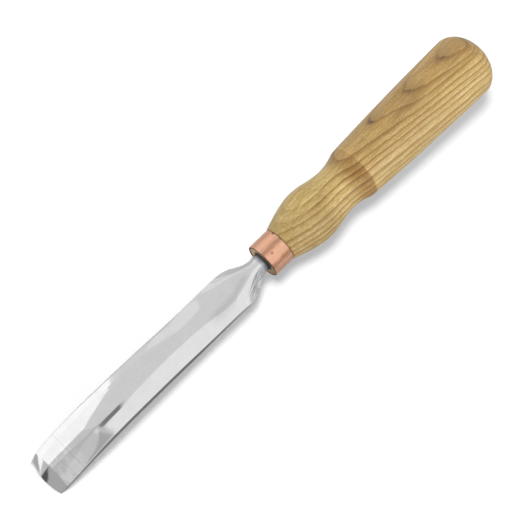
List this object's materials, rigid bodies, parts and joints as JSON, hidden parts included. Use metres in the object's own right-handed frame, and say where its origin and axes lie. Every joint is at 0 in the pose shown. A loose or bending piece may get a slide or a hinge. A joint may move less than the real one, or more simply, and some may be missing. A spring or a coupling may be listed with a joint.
{
  "type": "bent gouge",
  "caption": "Hand carving gouge with a swept, lengthwise-bent steel blade, a copper ferrule and a turned wood handle for scooping hollows in wood.",
  "frame": {"origin": "middle of the ferrule, on the handle's axis", "axes": "+X along the handle's axis towards the butt, so the blade points to -X; +Z out of the convex back of the blade"},
  "size_m": [0.2893, 0.0334, 0.0334],
  "materials": {
    "polished_steel": "mirror polished",
    "ash": "clear satin finish on turned ash",
    "copper": "satin copper",
    "adhesive": "cured dark adhesive"
  },
  "bodies": {
    "root": {"blade": "polished_steel", "handle": "ash", "ferrule": "copper", "tang_adhesive": "adhesive"}
  },
  "joints": []
}
